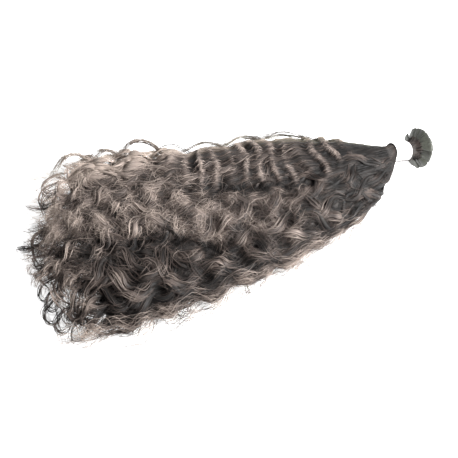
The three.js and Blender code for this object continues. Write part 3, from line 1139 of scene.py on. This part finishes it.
# %% Curl the hooks
END_HOOKS = (
    ("across", "start", "length", "curl", "hairs"),
    (0.10, 334, 44, -240, 7),
    (0.19, 344, 52, -290, 12),
    (0.26, 349, 57, -280, 14),
    (0.31, 350, 48, -310, 12),
    (0.37, 352, 44, -230, 9),
    (0.58, 358, 30, 25, 10),
    (0.76, 328, 40, 60, 12),
    (0.84, 326, 46, -200, 8),
    (0.89, 324, 52, -220, 10),
    (0.95, 316, 56, -230, 12),
)
random = np.random.default_rng(27)
root, start, size, curl = columns_of(END_HOOKS)
begin = start + random.normal(0, 0.9, len(start))
place = root + random.normal(0, 0.004, len(start))
loose_hairs("end_hooks", random, begin, place, steps=20, length=(0.94 * size, 1.06 * size), heading=3,
            bend=10, arch=(1.0, 4.0), width=0.65, tone=0.08, curl=curl[:, None], wander=0.05)

# %% [markdown]
# ## The core
#
# Under the strands there is solid hair, so no light comes through the bundle. A shrunken copy of the packed
# form stands for it. Its mesh is made even first, by a voxel Remesh modifier, then softened and drawn in. At
# the neck it is drawn in much less, because there it must still fill the band and the fan of stems.

# %% Shape the core
CORE_REACH = 324
CORE_VOXEL = 3.5 * MM
CORE_DEPTH = 5 * MM
MERGE = 0.02 * MM


def edit_faces(operator, **settings):
    """Run an Edit Mode operator on all faces of the active piece."""
    bpy.ops.object.mode_set(mode="EDIT")
    bpy.ops.mesh.select_all(action="SELECT")
    operator(**settings)
    bpy.ops.object.mode_set(mode="OBJECT")


def start_from_node(name, node):
    """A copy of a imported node's mesh as a new piece, with its loose triangles merged."""
    piece = bpy.data.objects.new(name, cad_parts[node].data.copy())
    bpy.context.collection.objects.link(piece)
    bpy.ops.object.select_all(action="DESELECT")
    piece.select_set(True)
    bpy.context.view_layer.objects.active = piece
    edit_faces(bpy.ops.mesh.remove_doubles, threshold=MERGE)
    piece.data.materials.clear()
    return piece


def shape_with(piece, name, kind, **settings):
    """Add a modifier to the active piece, set it and apply it."""
    modifier = piece.modifiers.new(name, kind)
    for field, value in settings.items():
        setattr(modifier, field, value)
    bpy.ops.object.modifier_apply(modifier=name)


core = start_from_node("hair_core", "hair_length")
core_end = neck_start.x - CORE_REACH * MM
edit_faces(bpy.ops.mesh.bisect, plane_co=(core_end, 0, 0), plane_no=(1, 0, 0), use_fill=True,
           clear_inner=True)
shape_with(core, "even_faces", "REMESH", mode="VOXEL", voxel_size=CORE_VOXEL)
shape_with(core, "soften", "SMOOTH", iterations=3)
drawn_in = core.vertex_groups.new(name="drawn_in")
for vertex in core.data.vertices:
    past_neck = (vertex.co - neck_start).dot(neck_axis) / MM
    kept = 0.3 * ease(past_neck, -150, -60) + 0.2 * ease(past_neck, -50, -3) + 0.4 * ease(past_neck, 14, 22)
    drawn_in.add([vertex.index], 1 - float(kept), "REPLACE")
shape_with(core, "shrink", "DISPLACE", strength=-CORE_DEPTH, mid_level=0, vertex_group="drawn_in")
bpy.ops.object.shade_smooth()
made_triangles["hair_core"] = 2 * len(core.data.polygons)
print("core:", len(core.data.polygons), "faces")

# %% [markdown]
# ## The finish of the core
#
# Where the core shows at all, it shows as dark hair in shadow. Noise that is stretched along the bundle
# gives it fine streaks, and the same noise raises them as a bump.

# %% Make the finish of shaded hair
STREAKS = (35, 700, 700)
STREAK_BUMP = 0.8 * MM
STREAK_RAMP = ((0.35, (0.008, 0.0065, 0.006)), (0.7, (0.04, 0.032, 0.028)))

shaded_hair, shader = new_finish("shaded_hair", 0.7)
spot = add_node(shaded_hair, "TexCoord").outputs["Object"]
stretched = add_node(shaded_hair, "Mapping", {"Vector": spot, "Scale": STREAKS}).outputs["Vector"]
streaks = add_noise(shaded_hair, stretched, 1.0, Detail=5.0)
fill_inputs(shaded_hair, shader, {"Base Color": add_ramp(shaded_hair, streaks, STREAK_RAMP)})
raise_bump(shaded_hair, shader, streaks, strength=0.8, distance=STREAK_BUMP)
core.data.materials.append(shaded_hair)
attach(core, "root")
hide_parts("hair_length")
print("core finish:", shaded_hair.name)

# %% [markdown]
# ## The band
#
# The band is a strip of white tape, wound a little more than once round the neck, so its end laps over its
# start. It is made the way it is used: a flat strip is tilted so that one end stands further out, and a
# Simple Deform modifier bends it into a coil.

# %% Wind the band
TAPE_TURNS = 1.2
TAPE_WALL = 0.55
TAPE_RADIUS = 9.42
TAPE_GROWTH = 0.62
TAPE_EDGE = 0.15
LAP_PLACE = math.radians(35)

tape_length = 2 * math.pi * TAPE_RADIUS * TAPE_TURNS
bpy.ops.object.select_all(action="DESELECT")
bpy.ops.mesh.primitive_grid_add(x_subdivisions=110, y_subdivisions=10, size=1, rotation=(math.pi / 2, 0, 0))
band = bpy.context.object
band.name = "white_band"
bpy.ops.object.transform_apply(location=True, rotation=True, scale=True)
edit_faces(bpy.ops.transform.resize, value=(tape_length * MM, 1, band_length))
for vertex in band.data.vertices:
    along_tape = vertex.co.x / (tape_length * MM)
    vertex.co.y = -TAPE_GROWTH * TAPE_TURNS * along_tape * MM
shape_with(band, "thicken", "SOLIDIFY", thickness=TAPE_WALL * MM, offset=0)
shape_with(band, "round_edges", "BEVEL", width=TAPE_EDGE * MM, segments=2)
shape_with(band, "coil", "SIMPLE_DEFORM", deform_method="BEND", deform_axis="Z",
           angle=2 * math.pi * TAPE_TURNS)
bpy.ops.object.shade_smooth()

# %% Put the band round the neck
side_of_neck = Vector((0, 0, 1)).cross(neck_axis).normalized()
top_of_neck = neck_axis.cross(side_of_neck)
lap_way = side_of_neck * math.sin(LAP_PLACE) - top_of_neck * math.cos(LAP_PLACE)
turned = Matrix((lap_way.cross(neck_axis), lap_way, neck_axis)).transposed().to_4x4()
middle_of_band = neck_start + neck_axis * band_length / 2
to_axis = Matrix.Translation((0, -TAPE_RADIUS * MM, 0))
band.matrix_world = Matrix.Translation(middle_of_band) @ turned @ to_axis
bpy.ops.object.transform_apply(location=True, rotation=True, scale=True)
made_triangles["white_band"] = 2 * len(band.data.polygons)
print("band:", len(band.data.polygons), "faces, box", [round(size / MM, 1) for size in band.dimensions])

# %% [markdown]
# ## The finish of the tape
#
# The tape is matt and white, with fine threads that run round the neck. A dot product with the neck's axis
# gives each point's place along the neck, a sine of that place gives the threads, and noise greys the white
# a little.

# %% Make the tape finish
THREAD = 0.9 * MM
THREAD_BUMP = 0.1 * MM
TAPE_RAMP = ((0.3, (0.88, 0.87, 0.86)), (0.6, (0.95, 0.945, 0.935)))

white_tape, shader = new_finish("white_tape", 0.65)
spot = add_node(white_tape, "TexCoord").outputs["Object"]
along = add_node(white_tape, "VectorMath", {0: spot, 1: neck_axis}, operation="DOT_PRODUCT").outputs["Value"]
threads = add_math(white_tape, "SINE", add_math(white_tape, "MULTIPLY", along, 2 * math.pi / THREAD))
greyed = add_ramp(white_tape, add_noise(white_tape, spot, 220), TAPE_RAMP)
fill_inputs(white_tape, shader, {"Base Color": greyed})
raise_bump(white_tape, shader, threads, strength=0.35, distance=THREAD_BUMP)
band.data.materials.append(white_tape)
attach(band, "root")
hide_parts("neck_band")
print("tape finish:", white_tape.name)

# %% [markdown]
# ## The bonded tips
#
# Each small lock ends in a flat tip of hardened resin, pressed like a petal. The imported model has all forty
# in place, so each is copied, its triangles are joined to quads, and a Subdivision Surface rounds it. That
# draws the tip in a little, so it is spread again, and each is bent by its own small amount, as pressed
# tips are.

# %% Find the directions of a tip
mouth = neck_start + neck_axis * band_length
END_POINTS = 8


def tip_directions(points):
    """Root, length direction and flat side of a tip, from its points."""
    from_mouth = np.linalg.norm(points - np.array(mouth), axis=1)
    order = np.argsort(from_mouth)
    root = points[order[:END_POINTS]].mean(axis=0)
    aim = points[order[-END_POINTS:]].mean(axis=0) - root
    aim /= np.linalg.norm(aim)
    flat = np.linalg.svd(points - points.mean(axis=0))[2][2]
    flat = flat - aim * flat.dot(aim)
    flat /= np.linalg.norm(flat)
    outer = root - np.array(mouth) - np.array(neck_axis) * 2 * np.linalg.norm(root - np.array(mouth))
    return root, aim, flat * np.sign(flat.dot(outer))


# %% Shape the bonded tips
TIP_SPREAD = 1.45
TIP_BEND = 1.0
tip_random = np.random.default_rng(30)
tips = []
tip_roots = []
tip_aims = []
for node in sorted(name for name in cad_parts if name.startswith("bond_tip")):
    tip = start_from_node(node.replace("bond", "resin"), node)
    root, aim, flat = tip_directions(np.array([vertex.co for vertex in tip.data.vertices]))
    edit_faces(bpy.ops.mesh.tris_convert_to_quads)
    shape_with(tip, "rounded", "SUBSURF", levels=1, render_levels=1)
    bpy.ops.object.shade_smooth()
    points = np.array([vertex.co for vertex in tip.data.vertices]) - root
    side = np.cross(aim, flat)
    along = points @ aim
    across = points @ side * TIP_SPREAD
    share = np.clip(along / along.max(), 0, 1)
    bend = TIP_BEND * (len(tips) % 2 + tip_random.uniform(-0.9, 0.1))
    off = points @ flat + bend * MM * share ** 2
    points = root + along[:, None] * aim + across[:, None] * side + off[:, None] * flat
    tip.data.vertices.foreach_set("co", points.ravel())
    add_values(tip.data, "across", across / MM)
    add_values(tip.data, "shade", np.full(len(points), tip_random.uniform(0, 1)))
    tip.data.update()
    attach(tip, "root")
    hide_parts(node)
    tips.append(tip)
    tip_roots.append(root / MM)
    tip_aims.append(aim)
made_triangles["resin_tips"] = sum(2 * len(tip.data.polygons) for tip in tips)
print("tips:", len(tips), "with", len(tips[0].data.polygons), "faces each")

# %% [markdown]
# ## The finish of the resin
#
# The resin is dark grey with a green or brown cast, a little glossy, and pressed in fine ridges along the
# tip. Each tip's mesh carries the distance across it, and a sine of that makes the ridges. It also carries
# a shade of its own, so that no two tips are quite alike.

# %% Make the resin finish
RIDGE = 0.9
RIDGE_BUMP = 0.2 * MM
RESIN_RAMP = ((0.3, (0.020, 0.0195, 0.018)), (0.95, (0.062, 0.065, 0.052)))

pressed_resin, shader = new_finish("pressed_resin", 0.42)
spot = add_node(pressed_resin, "TexCoord").outputs["Object"]
mottle = add_noise(pressed_resin, spot, 260, Detail=4)
shade = add_math(pressed_resin, "MULTIPLY_ADD", add_attribute(pressed_resin, "shade"), 0.45, mottle)
fill_inputs(pressed_resin, shader, {"Base Color": add_ramp(pressed_resin, shade, RESIN_RAMP)})
turns = add_math(pressed_resin, "MULTIPLY", add_attribute(pressed_resin, "across"), 2 * math.pi / RIDGE)
ridges = add_math(pressed_resin, "MULTIPLY_ADD", add_math(pressed_resin, "SINE", turns), 0.5, mottle)
raise_bump(pressed_resin, shader, ridges, strength=0.4, distance=RIDGE_BUMP)
for tip in tips:
    tip.data.materials.append(pressed_resin)
print("resin finish:", pressed_resin.name)

# %% [markdown]
# ## Hairs across the band
#
# A thin dark line crosses the white band. Three straight dark strands draw it: they lie on the tape just
# outside the coil, side by side, and run on to the tips.

# %% Lay hairs across the band
STRAY_ANGLES = np.radians((99, 103, 108))
STRAY_RADIUS = 10.8
STRAY_STEPS = 8
STRAY_WIDTH = 0.45
STRAY_TONE = 0.3
axis = np.array(neck_axis)
along_band = np.linspace(-0.35, 1.1, STRAY_STEPS)[None, :, None]
stray_way = np.cos(STRAY_ANGLES)[:, None] * np.array(top_of_neck)
stray_way = stray_way - np.sin(STRAY_ANGLES)[:, None] * np.array(side_of_neck)
stray_points = np.array(neck_start)[None, None] / MM + along_band * axis * band_length / MM
stray_points = stray_points + STRAY_RADIUS * stray_way[:, None]
stray_out = np.repeat(stray_way[:, None], STRAY_STEPS, axis=1)
each_ring = np.ones(stray_points.shape[:2])
strand_mesh("band_hairs", stray_points, stray_out, STRAY_WIDTH * each_ring, STRAY_TONE * each_ring,
            0 * each_ring)

# %% [markdown]
# ## The stems
#
# Between the band's mouth and the tips the hair shows again as short stems. Each tip gets eleven strands
# that leave the band along its axis and bend over to run into the tip's root. A curve with a given
# direction at both ends, a Hermite curve, does that.

# %% Draw the stems into the tips
STEM_STRANDS = 11
STEM_STEPS = 9
STEM_WIDTH = 1.05
STEM_INSIDE = 7
STEM_IN_TIP = 2.0
STEM_PULL = 1.1
MOUTH_RADIUS = 6.2
MOUTH_SHARE = 0.66
ROOT_SCATTER = 0.75
MOUTH_SCATTER = 0.6
STEM_TONE = 0.27
STEM_TONE_SPREAD = 0.05
random = np.random.default_rng(31)
stem_count = len(tips) * STEM_STRANDS
stem_end = np.repeat(np.array(tip_roots), STEM_STRANDS, axis=0)
stem_aim = np.repeat(np.array(tip_aims), STEM_STRANDS, axis=0)
mouth_middle = np.array(mouth) / MM
from_axis = stem_end - mouth_middle
from_axis -= (from_axis @ axis)[:, None] * axis
stem_end = stem_end + stem_aim * STEM_IN_TIP + random.normal(0, ROOT_SCATTER, (stem_count, 3))
spoke = np.linalg.norm(from_axis, axis=1, keepdims=True)
stem_start = mouth_middle - axis * STEM_INSIDE + from_axis * np.minimum(MOUTH_SHARE, MOUTH_RADIUS / spoke)
stem_start = stem_start + random.normal(0, MOUTH_SCATTER, (stem_count, 3))
share = np.linspace(0, 1, STEM_STEPS)[None, :, None]
stem_length = np.linalg.norm(stem_end - stem_start, axis=1)[:, None, None]
leave = axis[None, None, :] * stem_length * STEM_PULL
arrive = stem_aim[:, None, :] * stem_length * STEM_PULL
stem_points = (
    (2 * share ** 3 - 3 * share ** 2 + 1) * stem_start[:, None]
    + (share ** 3 - 2 * share ** 2 + share) * leave
    + (3 * share ** 2 - 2 * share ** 3) * stem_end[:, None]
    + (share ** 3 - share ** 2) * arrive
)
stem_out = np.repeat(from_axis[:, None], STEM_STEPS, axis=1) + 0.01
each_ring = np.ones((stem_count, STEM_STEPS))
stem_tone = np.clip(random.normal(STEM_TONE, STEM_TONE_SPREAD, (stem_count, 1)), 0.03, 1) * each_ring
strand_mesh("stems", stem_points, stem_out, STEM_WIDTH * each_ring, stem_tone, 0 * each_ring)

# %% [markdown]
# ## Triangles
#
# The strands may stand a little proud of the imported form, and no more. The triangles of all pieces are
# counted up.

# %% Count the triangles
print("triangles:", sum(made_triangles.values()))
